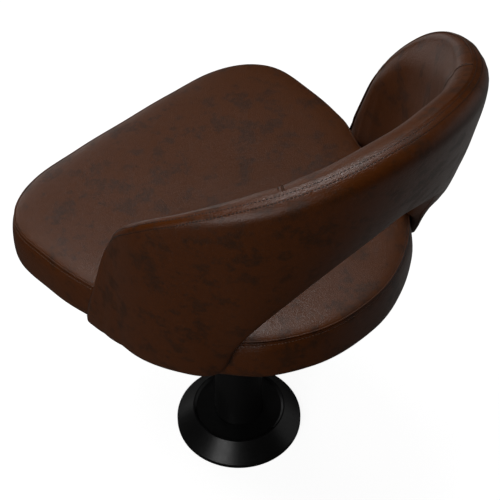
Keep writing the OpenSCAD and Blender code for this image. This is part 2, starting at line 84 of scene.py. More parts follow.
# Thickness as shares of TUB_T at the top roll, in the middle and at the low edge, then the share
# of the outer swell
THICKNESS_SHARES = np.array([
    [1.033, 1.04, 0.7, 1], [1.035, 1.04, 0.7, 1], [0.967, 1.03, 0.68, 1], [0.815, 1.01, 0.62, 1],
    [0.667, 1, 0.5, 1], [0.496, 0.97, 0.38, 0.9], [0.378, 0.93, 0.3, 0.8], [0.313, 0.89, 0.32, 0.6],
    [0.283, 0.85, 0.36, 0.4], [0.283, 0.82, 0.38, 0.2], [0.228, 0.76, 0.32, 0],
    [0.161, 0.66, 0.24, 0], [0.113, 0.5, 0.19, 0]])

# The cross seams lie at SEAM_STATION, and the wings' front edges are rounded over END_LENGTH of a
# station.
LAST = len(TOP_SHARES) - 1
SEAM_STATION = 3
END_LENGTH = 0.5
ROUND_START = LAST - END_LENGTH
SIDE_R_SHARE = 0.867
SIDE_R = SEAT_R * SIDE_R_SHARE
WING_LOW = SEAT_H - WING_DROP
TUB_TOP = SEAT_H + BACK_RISE


def mix(a, b, t):
    """From a to b by share t."""
    return a + (b - a) * t


def read(table, s, odd_first):
    """Rows of a table at fractional places s, on a smooth curve. Before the first row the table
    goes on as its own mirror image, with the first column negated if odd_first."""
    before = table[1].astype(float).copy()
    if odd_first:
        before[0] = -before[0]
    rows = np.vstack([before, table, 2 * table[-1] - table[-2]])
    i = np.clip(np.floor(s).astype(int), 0, len(table) - 2)
    t = (s - i)[:, None]
    a, b, c, d = rows[i], rows[i + 1], rows[i + 2], rows[i + 3]
    return (2 * b + (c - a) * t + (2 * a - 5 * b + 4 * c - d) * t**2
            + (3 * b - a - 3 * c + d) * t**3) / 2


def seat_side(turn):
    """Radius of the seat's side, without its swell, at a turn in degrees."""
    return SEAT_R * np.interp(np.abs(turn) / 180, OUTLINE_SHARES[:, 0], OUTLINE_SHARES[:, 1])


def swell(turn):
    """How far the seat's side swells out at a turn in degrees."""
    return SEAT_SWELL * np.interp(np.abs(turn), SWELL_SHARES[:, 0], SWELL_SHARES[:, 1])


def tub_point(turn, r, z):
    """Points at a turn in degrees from straight behind and a radius from the tub's centre."""
    turn = np.radians(turn)
    return np.stack([r * np.sin(turn), TUB_BACK + r * np.cos(turn), z + 0 * turn], -1)


def column(values):
    return values[:, None]


# The tub's sections. Angles on a roll are 0 facing out, 90 up or down and 180 facing in. The
# shares of the inner face run up from the low edge, and those of the outer face down.
SEAM_ANGLE = 90
LOW_SEAM_ANGLE = 55
OUTER_TOP_ANGLES = np.linspace(SEAM_ANGLE, 0, 9)
OUTER_FACE_SHARES = np.linspace(0.02, 0.98, 22)
OUTER_LOW_ANGLES = np.linspace(0, LOW_SEAM_ANGLE, 6)
INNER_TOP_ANGLES = (SEAM_ANGLE, 102, 118, 136, 156, 180)
INNER_FACE_SHARES = (0.86, 0.7, 0.52, 0.36, 0.24, 0.16, 0.1)
INNER_LOW_ANGLES = (180, 140, 105, LOW_SEAM_ANGLE)

# Where up the face the low roll takes its thickness, the share of the thickness that is left at
# the wing's front edge, the powers that lower and flatten the bulge, and the least thickness
LOW_ROLL_SHARE = 0.03
END_SHARE = 0.12
BULGE_LOWER = 0.8
BULGE_FLATTER = 0.6
LEAST_T = 6 * MM

# The gap between the tub and the seat's side, by turn in degrees, and where above the seat's seam
# the tub may lean over the seat
GAP_TURNS = [52, 58, 86, 94]
GAPS = np.array([0.9, 6, 6, 0.9]) * MM
LEAN_FROM = 4 * MM


class Sections:
    """Cross-sections of the tub at stations s. w runs up along a section and d is the depth
    behind the outer face; both are arrays with one row per station."""

    def __init__(self, s):
        self.s = np.asarray(s, float)
        a = np.abs(self.s)
        side = np.where(self.s < 0, -1, 1)
        top, low = read(TOP_SHARES, a, True), read(LOW_SHARES, a, True)
        thick = read(THICKNESS_SHARES, a, False)
        self.top_turn = column(side * top[:, 0] * WING_TURN)
        self.low_turn = column(side * low[:, 0] * WING_TURN)
        self.top_z = column(mix(WING_LOW, TUB_TOP, top[:, 1]))
        self.low_z = column(mix(WING_LOW, TUB_TOP, low[:, 1]))
        self.top_r = column(SIDE_R + top[:, 2] * TUB_OUT)
        self.low_r = seat_side(self.low_turn) + column(low[:, 2] * TUB_OUT)
        self.top_t, self.mid_t, self.low_t = (column(thick[:, k] * TUB_T) for k in range(3))
        self.swell = column(thick[:, 3])
        top_edge = tub_point(self.top_turn, self.top_r, self.top_z)
        low_edge = tub_point(self.low_turn, self.low_r, self.low_z)
        self.length = np.linalg.norm(top_edge - low_edge, axis=-1)
        into_end = np.clip((column(a) - ROUND_START) / END_LENGTH, 0, 1)
        self.round_off = np.maximum(np.sqrt(1 - into_end * into_end), END_SHARE)
        self.top_roll = self.top_t / 2
        self.low_roll = self.face_depth(LOW_ROLL_SHARE + 0 * self.length) / 2

    def outer_r(self, v):
        """Radius of the outer face at share v of the way up."""
        return mix(self.low_r, self.top_r, v) + 4 * TUB_SWELL * np.maximum(v * (1 - v), 0) * self.swell

    def face_depth(self, v):
        """Thickness of the band at share v of the way up, which keeps clear of the seat."""
        base = mix(self.low_t, self.top_t, v)
        arch = np.maximum(np.sin(math.pi * np.clip(v, 0, 1)**BULGE_LOWER), 0)**BULGE_FLATTER
        free = base + np.maximum((self.mid_t - base) * arch, 0)
        turn = np.abs(mix(self.low_turn, self.top_turn, v))
        beside = seat_side(turn) + swell(turn) + np.interp(turn, GAP_TURNS, GAPS)
        room = self.outer_r(v) - beside
        z = mix(self.low_z, self.top_z, v)
        lean = np.clip((z - SEAT_H - LEAN_FROM) / SEAT_CROWN, 0, 1)
        return np.maximum(np.minimum(free, mix(np.minimum(free, room), free, lean)), LEAST_T)

    def at(self, w, d, t):
        """Points at w and depth d, where the band is t thick."""
        v = w / self.length
        r = self.outer_r(v) - mix(t / 2, d, self.round_off)
        return tub_point(mix(self.low_turn, self.top_turn, v), r, mix(self.low_z, self.top_z, v))

    def top(self, angle):
        """A point on the roll over the top edge."""
        a = np.radians(angle)
        return self.at(self.length - self.top_roll + self.top_roll * np.sin(a),
                       self.top_roll - self.top_roll * np.cos(a), self.top_t)

    def low(self, angle):
        """A point on the roll under the low edge."""
        a = np.radians(angle)
        return self.at(self.low_roll - self.low_roll * np.sin(a),
                       self.low_roll - self.low_roll * np.cos(a), 2 * self.low_roll)

    def outer(self):
        """The outside, from the top seam down to the low seam."""
        mids = [mix(self.length - self.top_roll, self.low_roll, t) for t in OUTER_FACE_SHARES]
        return np.stack([self.top(a)[:, 0] for a in OUTER_TOP_ANGLES]
                        + [self.at(w, 0, self.face_depth(w / self.length))[:, 0] for w in mids]
                        + [self.low(a)[:, 0] for a in OUTER_LOW_ANGLES], 1)

    def inner(self):
        """The inside, from the top seam over the roll, down the face and round the low edge."""
        depths = [(v * self.length, self.face_depth(v + 0 * self.length)) for v in INNER_FACE_SHARES]
        return np.stack([self.top(a)[:, 0] for a in INNER_TOP_ANGLES]
                        + [self.at(w, d, d)[:, 0] for w, d in depths]
                        + [self.low(a)[:, 0] for a in INNER_LOW_ANGLES], 1)


# Grids of points. LEAST_GAP is the least step that a path is taken to have, and TINY the least
# length that a vector is divided by.
LEAST_GAP = 1e-6
TINY = 1e-12


def lengths(path):
    """Running length along the second axis of (rows, points, 3)."""
    steps = np.linalg.norm(np.diff(path, axis=1), axis=-1)
    return np.concatenate([np.zeros((len(path), 1)), np.cumsum(steps, 1)], 1)


def smooth_path(path, parts):
    """A denser path through the same points, on curves that don't overshoot."""
    before = 2 * path[:, :1] - path[:, 1:2]
    after = 2 * path[:, -1:] - path[:, -2:-1]
    p = np.concatenate([before, path, after], 1)
    gap = np.maximum(np.linalg.norm(np.diff(p, axis=1), axis=-1), LEAST_GAP)[..., None]**0.5
    g0, g1, g2 = gap[:, :-2], gap[:, 1:-1], gap[:, 2:]
    a, b, c, d = p[:, :-3], p[:, 1:-2], p[:, 2:-1], p[:, 3:]
    m1 = (c - b) + g1 * ((b - a) / g0 - (c - a) / (g0 + g1))
    m2 = (c - b) + g1 * ((d - c) / g2 - (d - b) / (g1 + g2))
    out = []
    for t in np.arange(parts) / parts:
        out.append((2 * t**3 - 3 * t**2 + 1) * b + (t**3 - 2 * t**2 + t) * m1
                   + (3 * t**2 - 2 * t**3) * c + (t**3 - t**2) * m2)
    dense = np.stack(out, 2).reshape(len(path), -1, 3)
    return np.concatenate([dense, path[:, -1:]], 1)


def at_lengths(path, places):
    """Points of each row of a path at the given lengths, (rows, n)."""
    run = lengths(path)
    out = np.empty(places.shape + (3,))
    for i in range(len(path)):
        for k in range(3):
            out[i, :, k] = np.interp(places[i], run[i], path[i, :, k])
    return out


def places(path, start, middle, end):
    """Lengths along each row: start counts from the first point, end from the last one, and
    middle evenly shares what lies between them."""
    total = lengths(path)[:, -1:]
    start, end = np.array(start)[None] + 0 * total, total - np.array(end)[None]
    t = (np.arange(middle) + 1) / (middle + 1)
    return np.concatenate([start, mix(start[:, -1:], end[:, :1], t[None]), end], 1)


def on_rows(values, where, at):
    """Values (stations, rows, 3) at one length per station; where holds the rows' lengths."""
    return np.array([[np.interp(x, lengths_of, row[:, k]) for k in range(3)]
                     for x, lengths_of, row in zip(at, where, values)])


def normals(grid, closed=False):
    """Unit normals of a grid of points; closed says that its rows come back to the first."""
    if closed:
        du = np.roll(grid, -1, 0) - np.roll(grid, 1, 0)
    else:
        du = np.gradient(grid, axis=0)
    dv = np.gradient(grid, axis=1)
    n = np.cross(dv, du)
    return n / np.maximum(np.linalg.norm(n, axis=-1, keepdims=True), TINY)


def both_sides(points):
    """The points on the sitter's left, and their mirror image on the right."""
    return [points * np.array([side, 1, 1]) for side in (1, -1)]


def even(first, last, step):
    """Stations from first to last at about that step, with the ends in."""
    return np.linspace(first, last, int(round((last - first) / step)) + 1)


# Smooth noise is a sum of sines, each octave finer and half as high as the one before it. WAVE_SUM
# brings the first octave's sum near 1.
WAVES_PER_OCTAVE = 6
OCTAVES = 2
OCTAVE_FINER = 1.9
WAVE_SPREAD = (0.7, 1.3)
WAVE_SUM = 3.2


def waves(points, size, seed):
    """Smooth noise from -1 to 1 at points, with features of about the given size."""
    rng = np.random.default_rng(seed)
    value = np.zeros(points.shape[:-1])
    for octave in range(OCTAVES):
        for _ in range(WAVES_PER_OCTAVE):
            k = rng.normal(size=3)
            k *= math.pi / size * OCTAVE_FINER**octave / np.linalg.norm(k) * rng.uniform(*WAVE_SPREAD)
            value += np.sin(points @ k + rng.uniform(0, 2 * math.pi)) / (WAVE_SUM * 2**octave)
    return np.clip(value, -1, 1)


def bump(x, middle, width):
    """A smooth bump of height 1 at middle."""
    return np.exp(-((x - middle) / width)**2)


# Meshes. A stitch is a capsule of length STITCH, and there is one at every PITCH. The rings of a
# tube are turned to the point BELOW, which lies off every line.
STITCH = 2.6 * MM
PITCH = 4.3 * MM
CAPSULE_SIDES = 6
CAPSULE_ANGLES = (-50, -10, 10, 50)
TUBE_SIDES = 10
BELOW = np.array([0, 0, -1])


def add_mesh(name, points, faces, material, smooth=True):
    """An object of that mesh, in the scene."""
    mesh = bpy.data.meshes.new(name)
    mesh.from_pydata(np.asarray(points).tolist(), [], faces)
    mesh.update()
    obj = bpy.data.objects.new(name, mesh)
    bpy.context.collection.objects.link(obj)
    mesh.materials.append(material)
    if smooth:
        mesh.shade_smooth()
    return obj


def grid_faces(rows, cols, closed, offset=0, back=False):
    """The quads of a grid of points that starts at number offset; back turns them over."""
    out = []
    for i in range(rows if closed else rows - 1):
        here, there = offset + i * cols, offset + (i + 1) % rows * cols
        for k in range(cols - 1):
            quad = (here + k, here + k + 1, there + k + 1, there + k)
            out.append(quad[::-1] if back else quad)
    return out


def sheet_of(name, grid, thickness, material, closed=False, up=1):
    """A skin of that thickness under a grid of points, closed round its edges. up says on which
    side of the grid its face lies."""
    rows, cols = grid.shape[:2]
    n = normals(grid, closed) * up
    under = grid - n * thickness
    points = np.concatenate([grid.reshape(-1, 3), under.reshape(-1, 3)])
    half = rows * cols
    faces = grid_faces(rows, cols, closed, 0, up < 0) + grid_faces(rows, cols, closed, half, up > 0)
    rims = []
    if not closed:
        rims.append(list(range(cols)))
        rims.append([(rows - 1) * cols + k for k in range(cols)][::-1])
    first = [i * cols for i in range(rows)]
    last = [i * cols + cols - 1 for i in range(rows)]
    if closed:
        first, last = first + first[:1], last + last[:1]
    rims += [first[::-1], last]
    for rim in rims:
        for a, b in zip(rim[:-1], rim[1:]):
            quad = (a, b, b + half, a + half)
            faces.append(quad if up < 0 else quad[::-1])
    return add_mesh(name, points, faces, material)


def capsule(length, radius):
    """Points and faces of one stitch, which lies along X."""
    ring = np.radians(np.arange(CAPSULE_SIDES) * 360 / CAPSULE_SIDES)
    points = []
    for t in np.radians(CAPSULE_ANGLES):
        x = np.sign(t) * (length / 2 - radius) + radius * math.sin(t)
        r = radius * math.cos(t)
        points += [(x, r * math.cos(a), r * math.sin(a)) for a in ring]
    tip, far_tip = len(points), len(points) + 1
    points += [(-length / 2, 0, 0), (length / 2, 0, 0)]
    sides = [(k, (k + 1) % CAPSULE_SIDES) for k in range(CAPSULE_SIDES)]
    starts = [i * CAPSULE_SIDES for i in range(len(CAPSULE_ANGLES))]
    faces = [(b + k, b + m, a + m, a + k) for a, b in zip(starts[:-1], starts[1:]) for k, m in sides]
    faces += [(k, m, tip) for k, m in sides]
    faces += [(starts[-1] + m, starts[-1] + k, far_tip) for k, m in sides]
    return np.array(points), faces


def capsules(name, paths, radius, material):
    """Stitches: a capsule at every pitch along each path. A path is (points, normals)."""
    shape, local = capsule(STITCH, radius)
    points, faces = [], []
    for line, up in paths:
        run = lengths(line[None])[0]
        count = int(run[-1] / PITCH)
        at = (np.arange(count) + 0.5) * run[-1] / count
        place, start, end = (at_lengths(line[None], (at + x)[None])[0]
                             for x in (0, -STITCH / 2, STITCH / 2))
        lead = end - start
        lead /= np.linalg.norm(lead, axis=1, keepdims=True)
        lift = np.stack([np.interp(at, run, up[:, k]) for k in range(3)], 1)
        across = np.cross(lift, lead)
        across /= np.linalg.norm(across, axis=1, keepdims=True)
        lift = np.cross(lead, across)
        for p, x, y, z in zip(place, lead, across, lift):
            base = len(points) * len(shape)
            points.append(p + shape @ np.stack([x, y, z]))
            faces += [tuple(i + base for i in f) for f in local]
    return add_mesh(name, np.concatenate(points), faces, material)


def tube(name, lines, radius, material, closed=False):
    """A cord round each line of points."""
    a = np.radians(np.arange(TUBE_SIDES) * 360 / TUBE_SIDES)[None, :, None]
    points, faces, base = [], [], 0
    for line in lines:
        if closed:
            lead = np.roll(line, -1, 0) - np.roll(line, 1, 0)
        else:
            lead = np.gradient(line, axis=0)
        lead /= np.maximum(np.linalg.norm(lead, axis=1, keepdims=True), TINY)
        side = np.cross(lead, line - BELOW)
        side /= np.linalg.norm(side, axis=1, keepdims=True)
        lift = np.cross(side, lead)
        rings = line[:, None] + radius * (side[:, None] * np.cos(a) + lift[:, None] * np.sin(a))
        points.append(rings.reshape(-1, 3))
        n = len(line)
        for i in range(n if closed else n - 1):
            here, there = base + i * TUBE_SIDES, base + (i + 1) % n * TUBE_SIDES
            for k in range(TUBE_SIDES):
                m = (k + 1) % TUBE_SIDES
                faces.append((here + k, there + k, there + m, here + m))
        if not closed:
            faces.append(tuple(base + k for k in range(TUBE_SIDES)))
            faces.append(tuple(base + (n - 1) * TUBE_SIDES + k for k in range(TUBE_SIDES))[::-1])
        base += n * TUBE_SIDES
    return add_mesh(name, np.concatenate(points), faces, material)


# Materials
def shader(name):
    """A new material, its nodes and links, and its surface shader."""
    material = bpy.data.materials.new(name)
    material.use_nodes = True
    nodes, links = material.node_tree.nodes, material.node_tree.links
    return material, nodes, links, nodes["Principled BSDF"]


def add_node(nodes, kind, **values):
    """A node with those inputs, or properties, set."""
    node = nodes.new(kind)
    for key, value in values.items():
        if key in node.inputs:
            node.inputs[key].default_value = value
        else:
            setattr(node, key, value)
    return node


def noise(nodes, links, coords, scale, detail=2.0, rough=0.5, distortion=0.0):
    """Noise that keeps its place on the object."""
    tex = add_node(nodes, "ShaderNodeTexNoise", Scale=scale, Detail=detail, Roughness=rough,
                   Distortion=distortion)
    links.new(coords.outputs["Object"], tex.inputs["Vector"])
    return tex


def cell_edges(nodes, links, vector, scale):
    """Distance to the edges of irregular cells."""
    cells = add_node(nodes, "ShaderNodeTexVoronoi", Scale=scale, feature="DISTANCE_TO_EDGE")
    links.new(vector, cells.inputs["Vector"])
    return cells.outputs["Distance"]


def span(nodes, links, value, low, high, to_low=0.0, to_high=1.0):
    """A value from low to high, carried over to to_low to to_high."""
    node = nodes.new("ShaderNodeMapRange")
    node.inputs["From Min"].default_value = low
    node.inputs["From Max"].default_value = high
    node.inputs["To Min"].default_value = to_low
    node.inputs["To Max"].default_value = to_high
    links.new(value, node.inputs["Value"])
    return node.outputs["Result"]


def blend_colors(nodes, links, factor, a, b):
    """From colour a to b by factor. Each is a colour or a socket."""
    node = nodes.new("ShaderNodeMix")
    node.data_type = "RGBA"
    links.new(factor, node.inputs["Factor"])
    for socket, value in ((node.inputs["A"], a), (node.inputs["B"], b)):
        if isinstance(value, tuple):
            socket.default_value = (*value, 1)
        else:
            links.new(value, socket)
    return node.outputs["Result"]


def relief_node(nodes, links, height, strength, depth, over=None):
    """A bump from a height, on top of another bump's normal."""
    node = add_node(nodes, "ShaderNodeBump", Strength=strength, Distance=depth)
    links.new(height, node.inputs["Height"])
    if over:
        links.new(over, node.inputs["Normal"])
    return node.outputs["Normal"]


PATCH_NOISE = dict(scale=36, detail=6.0, rough=0.68)
PATCH_SPAN = (0.51, 0.59)
PATCH_DULLER = 0.08
MOTTLE_NOISE = dict(scale=180, detail=4.0, rough=0.75)
MOTTLE_SPAN = (0.35, 0.65)
MOTTLE_SHARE = 0.5
MOTTLE_PALER = 1.45
GRAIN = dict(strength=0.5, depth=0.2 * MM)
GRAIN_SCALE = 520
GRAIN_EDGE = 0.15
CREASES = dict(strength=0.4, depth=0.5 * MM)
CREASE_NOISE = dict(scale=210, detail=4.0, rough=0.65, distortion=0.8)
CRACKS = dict(strength=0.15, depth=0.4 * MM)
CRACK_SCALE = 80
CRACK_EDGE = 0.08
CRACK_WARP = (0.03, 0.03, 0.03)


def leather(name, light, dark, roughness):
    """Aged leather: sparse darker patches with ragged edges, a mottle, a fine grain, creases and
    a net of shallow cracks."""
    material, nodes, links, surface = shader(name)
    coords = nodes.new("ShaderNodeTexCoord")
    ragged = noise(nodes, links, coords, **PATCH_NOISE)
    patch = span(nodes, links, ragged.outputs["Fac"], *PATCH_SPAN)
    base = blend_colors(nodes, links, patch, light, dark)
    mottle = noise(nodes, links, coords, **MOTTLE_NOISE)
    fade = span(nodes, links, mottle.outputs["Fac"], *MOTTLE_SPAN, 0.0, MOTTLE_SHARE)
    paler = tuple(MOTTLE_PALER * c for c in light)
    links.new(blend_colors(nodes, links, fade, base, paler), surface.inputs["Base Color"])
    gloss = span(nodes, links, patch, 0.0, 1.0, roughness, roughness + PATCH_DULLER)
    links.new(gloss, surface.inputs["Roughness"])

    cells = cell_edges(nodes, links, coords.outputs["Object"], GRAIN_SCALE)
    grain = relief_node(nodes, links, span(nodes, links, cells, 0.0, GRAIN_EDGE), **GRAIN)
    folds = noise(nodes, links, coords, **CREASE_NOISE)
    creases = relief_node(nodes, links, folds.outputs["Fac"], **CREASES, over=grain)
    warp = add_node(nodes, "ShaderNodeVectorMath", operation="MULTIPLY_ADD")
    links.new(ragged.outputs["Color"], warp.inputs[0])
    warp.inputs[1].default_value = CRACK_WARP
    links.new(coords.outputs["Object"], warp.inputs[2])
    net = cell_edges(nodes, links, warp.outputs["Vector"], CRACK_SCALE)
    cracks = relief_node(nodes, links, span(nodes, links, net, 0.0, CRACK_EDGE), **CRACKS, over=creases)
    links.new(cracks, surface.inputs["Normal"])
    return material


PLAIN_SPAN = (0.3, 0.7)
PLAIN_SPREAD = 0.05
PLAIN_DEPTH = 0.3 * MM


def plain(name, color, roughness, metallic=0.0, grain=0.0, grain_scale=300.0):
    """A finish of one colour, with a faint grain in its gloss."""
    material, nodes, links, surface = shader(name)
    surface.inputs["Base Color"].default_value = (*color, 1)
    surface.inputs["Metallic"].default_value = metallic
    tex = noise(nodes, links, nodes.new("ShaderNodeTexCoord"), grain_scale)
    gloss = span(nodes, links, tex.outputs["Fac"], *PLAIN_SPAN, roughness - PLAIN_SPREAD,
                 roughness + PLAIN_SPREAD)
    links.new(gloss, surface.inputs["Roughness"])
    if grain:
        links.new(relief_node(nodes, links, tex.outputs["Fac"], grain, PLAIN_DEPTH), surface.inputs["Normal"])
    return material


# Light colour, colour of the patches, roughness
LEATHERS = {
    "brown_leather": ((0.098, 0.0315, 0.0105), (0.050, 0.0205, 0.0105), 0.32),
    "dark_leather": ((0.086, 0.0215, 0.0025), (0.042, 0.0135, 0.0030), 0.28),
    "seam_leather": ((0.098, 0.0315, 0.0105), (0.060, 0.023, 0.0105), 0.34),
}
PLAIN_FINISHES = {
    # Darker, matte leather for the cords in the cross seams: painted shade for the crease between the pads
    "shade_cord_leather": dict(color=(0.060, 0.019, 0.0055), roughness=0.75),
    "thread": dict(color=(0.010, 0.006, 0.004), roughness=0.5),
    "fine_thread": dict(color=(0.018, 0.010, 0.007), roughness=0.5),
    "light_thread": dict(color=(0.16, 0.085, 0.055), roughness=0.4),
    "black_steel": dict(color=(0.008, 0.008, 0.008), roughness=0.34, grain=0.04),
    "bright_steel": dict(color=(0.55, 0.55, 0.57), roughness=0.32, metallic=1.0),
    "nylon": dict(color=(0.75, 0.7, 0.6), roughness=0.5),
    "plywood": dict(color=(0.5, 0.33, 0.17), roughness=0.6, grain=0.3, grain_scale=60.0),
    "foam": dict(color=(0.75, 0.66, 0.42), roughness=0.9, grain=0.6),
    "black_cloth": dict(color=(0.012, 0.012, 0.012), roughness=0.9, grain=0.5, grain_scale=900.0),
}
MATERIALS = {name: leather(name, *values) for name, values in LEATHERS.items()}
MATERIALS.update({name: plain(name, **values) for name, values in PLAIN_FINISHES.items()})

# The CAD nodes get the materials of their slots
for part in frame["record"]["subparts"]:
    node = frame["nodes"][part["node"]]
    node.data.materials.clear()
    node.data.materials.append(MATERIALS[part["material_slot"]])


def finish_piece(obj, slot, *replaced, fill=None):
    """Ties a piece to the seat's body. fill is not used."""
    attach(obj, "seat")
    if replaced:
        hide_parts(*replaced)


# Seams. SEAM_CURL holds the distances from a seam at which a turned-in edge has its points.
SEAM_CURL = np.array([0, 0.2, 0.45, 0.8, 1.3, 2.2]) * MM
SEAM_DEPTH = 0.4 * MM
EDGE_DEPTH = 1.0 * MM
EDGE_REACH = 0.9 * MM
THREAD_R = 0.6 * MM
FINE_THREAD_R = 0.5 * MM


def curl(x, depth=EDGE_DEPTH, reach=EDGE_REACH):
    """How far a leather edge turns in at distance x from its seam."""
    t = np.clip(1 - x / reach, 0, 1)
    return -depth * (1 - np.sqrt(np.maximum(1 - t * t, 0)))


# Stations of the wing's rounded front edge, closer towards its end
END_TURNS = np.radians(np.linspace(0, 90, 9))
wing_end = ROUND_START + END_LENGTH * np.sin(END_TURNS)[1:]

# The outer leather. Two rows of stitches run along the tub's top seam, at STITCH_NEAR and
# STITCH_OUT from it. The outer one turns down the wings' front edges, at STITCH_EDGE from them.
COVER_STEP = 0.125
COVER_ROWS = 44
COVER_PARTS = 3
COVER_SHEET_T = 1.6 * MM
STITCH_NEAR = 4.5 * MM
STITCH_MIDDLE = 8.5 * MM
STITCH_OUT = 11.2 * MM
STITCH_EDGE = 6 * MM
STITCH_TURN = 24 * MM
STITCH_WIDTH = np.array([-1.6, -0.8, 0, 0.8, 1.6]) * MM
SEAM_ROWS = np.concatenate([SEAM_CURL, STITCH_NEAR + STITCH_WIDTH, [STITCH_MIDDLE],
                            STITCH_OUT + STITCH_WIDTH])
INNER_ROW_END = 1.5 * STITCH_TURN
ROWS_BELOW_STITCHES = 2
GROOVE_DEPTH = 0.15 * MM
GROOVE_WIDTH = 0.8 * MM

# How far the leather is filled out on the back and on the wings, how far from the top seam and
# from the low one that takes, and between which stations the back goes over into the wing
BACK_PUFF = 4 * MM
WING_PUFF = 4.5 * MM
BACK_REACH = 24 * MM
WING_REACH = 20 * MM
LOW_REACH = 18 * MM
WING_FROM = 3
WING_FULL = 5.5

# A flat strip beside the top seam, soft waves, and the piping of the low and front edges
STRIP_WIDTH = 6.5 * MM
STRIP_LEAST_ROLL = 15 * MM
SWAY = 0.5 * MM
SWAY_SIZE = 70 * MM
SWAY_EDGE = 30 * MM
SWAY_SEED = 11
PIPING_R = 0.7 * MM
PIPING_FROM = 4


def rounded_down(down, edge):
    """Distance from the top seam and the wing's front edge as one, rounded at their corner."""
    edge = edge * STITCH_OUT / STITCH_EDGE
    return STITCH_TURN - np.hypot(np.maximum(STITCH_TURN - down, 0), np.maximum(STITCH_TURN - edge, 0))


def cover_relief(tub, grid, from_top, from_low, from_edge):
    """How far the outer leather stands out from the plain tub."""
    groove = -GROOVE_DEPTH * bump(rounded_down(from_top, from_edge), STITCH_OUT, GROOVE_WIDTH)
    wing_share = np.clip((column(np.abs(tub.s)) - WING_FROM) / (WING_FULL - WING_FROM), 0, 1)
    back = BACK_PUFF * (1 - np.exp(-(from_top / BACK_REACH)**2))
    wing = WING_PUFF * (1 - np.exp(-from_top / WING_REACH))
    filling = mix(back, wing, wing_share) * (1 - np.exp(-from_low / LOW_REACH))
    sway = (SWAY * waves(grid, SWAY_SIZE, SWAY_SEED)
            * np.clip(from_top / SWAY_EDGE, 0, 1) * np.clip(from_low / SWAY_EDGE, 0, 1))
    # A strip beside the top seam lies flat on its roll
    strip = np.maximum(STRIP_WIDTH - from_top, 0)**2 / (2 * np.maximum(tub.top_roll, STRIP_LEAST_ROLL))
    return groove + sway + filling + strip + (curl(from_top, SEAM_DEPTH) + curl(from_low))


def outer_stitches(cover, normal, from_top, from_edge):
    """The row that follows the top seam and turns down both front edges, as (points, normals)."""
    turned = np.maximum(STITCH_TURN - from_edge * STITCH_OUT / STITCH_EDGE, 0)
    room = (STITCH_TURN - STITCH_OUT)**2 - turned**2
    down = STITCH_TURN - np.sqrt(np.maximum(room, 0))
    run = np.flatnonzero(room > 0)
    row = np.arange(len(SEAM_ROWS), from_top.shape[1] - len(SEAM_CURL) - ROWS_BELOW_STITCHES)
    return tuple(np.concatenate([values[run[0], row[::-1]], on_rows(values, from_top, down)[run],
                                 values[run[-1], row]]) for values in (cover, normal))


def inner_stitches(cover, normal, from_top, from_edge):
    """The row beside the top seam, as (points, normals)."""
    keep = np.flatnonzero(from_edge > INNER_ROW_END)
    down = np.full(len(cover), STITCH_NEAR)
    return tuple(on_rows(values, from_top, down)[keep] for values in (cover, normal))


def make_outer_leather():
    stations = np.concatenate([-wing_end[::-1], even(-ROUND_START, ROUND_START, COVER_STEP), wing_end])
    tub = Sections(stations)
    path = smooth_path(tub.outer(), COVER_PARTS)
    from_top = places(path, SEAM_ROWS, COVER_ROWS, SEAM_CURL[::-1])
    from_low = lengths(path)[:, -1:] - from_top
    grid = at_lengths(path, from_top)
    normal = -normals(grid)
    along = lengths(grid[None, :, len(SEAM_ROWS)])[0]
    from_edge = np.minimum(along, along[-1] - along)
    relief = cover_relief(tub, grid, from_top, from_low, column(from_edge))
    cover = grid + normal * relief[..., None]
    piece = sheet_of("outer_leather", cover, COVER_SHEET_T, MATERIALS["dark_leather"], up=-1)
    finish_piece(piece, "dark_leather", "outer_cover")

    row = outer_stitches(cover, normal, from_top, from_edge)
    piece = capsules("topstitch_back", [row], THREAD_R, MATERIALS["thread"])
    finish_piece(piece, "dark_leather", "top_welt")
    row = inner_stitches(cover, normal, from_top, from_edge)
    piece = capsules("topstitch_back_inner", [row], FINE_THREAD_R, MATERIALS["fine_thread"])
    finish_piece(piece, "dark_leather")

    wing = np.flatnonzero(stations >= PIPING_FROM)
    piping = np.concatenate([cover[wing[0]:wing[-1], -1], cover[-1, ::-1]])
    piece = tube("wing_piping", both_sides(piping), PIPING_R, MATERIALS["seam_leather"])
    finish_piece(piece, "dark_leather", "edge_piping")


# The pads of the back and arms. CROSS_CURL holds the stations at which the end of a pad has its
# points, counted from its cross seam.
PAD_ROWS = 66
PAD_PARTS = 5
PAD_STEP = 0.09
PAD_FILL = 0.85
PAD_EDGE = 25 * MM
PAD_WAVE = 0.8 * MM
PAD_WAVE_SIZE = 55 * MM
BACK_SEED = 21
ARM_SEED = 33
BACK_SHEET_T = 9 * MM
ARM_SHEET_T = 8 * MM
ARM_ROLL_SHARE = 0.45

# A fuller spot near the upper end of each wing's front edge, which keeps the shell under the pad.
# It is placed by distance from the top seam and by station.
CORNER_PUFF = 1.8 * MM
CORNER_DOWN = 7 * MM
CORNER_REACH = 5 * MM
CORNER_STATION = 11
CORNER_STATIONS = 1.0

# The cross seams: their gap, their turned-in edges, the puff and the row of stitches beside them
# and the cord in them, whose darker, matte leather is painted shade for the crease between the pads
SEAM_HALF = 0.001
CROSS_CURL = np.array([
    0, 0.005, 0.012, 0.022, 0.035, 0.055, 0.075, 0.09, 0.105, 0.12, 0.135, 0.16, 0.21, 0.27])
CROSS_END = 0.3
CROSS_DEPTH = 2.4 * MM
CROSS_REACH = 2.0 * MM
CROSS_PUFF = 1.2 * MM
CROSS_PUFF_AT = 24 * MM
CROSS_PUFF_WIDTH = 14 * MM
CROSS_STITCH = 4.2 * MM
STITCH_DENT = 0.45 * MM
STITCH_DENT_WIDTH = 1.0 * MM
ROWS_BELOW_ARM_STITCHES = 14
CORD_R = 1.0 * MM
CORD_SHARE = 0.8
CORD_POINTS = 90
EDGE_CORD_R = 1.5 * MM


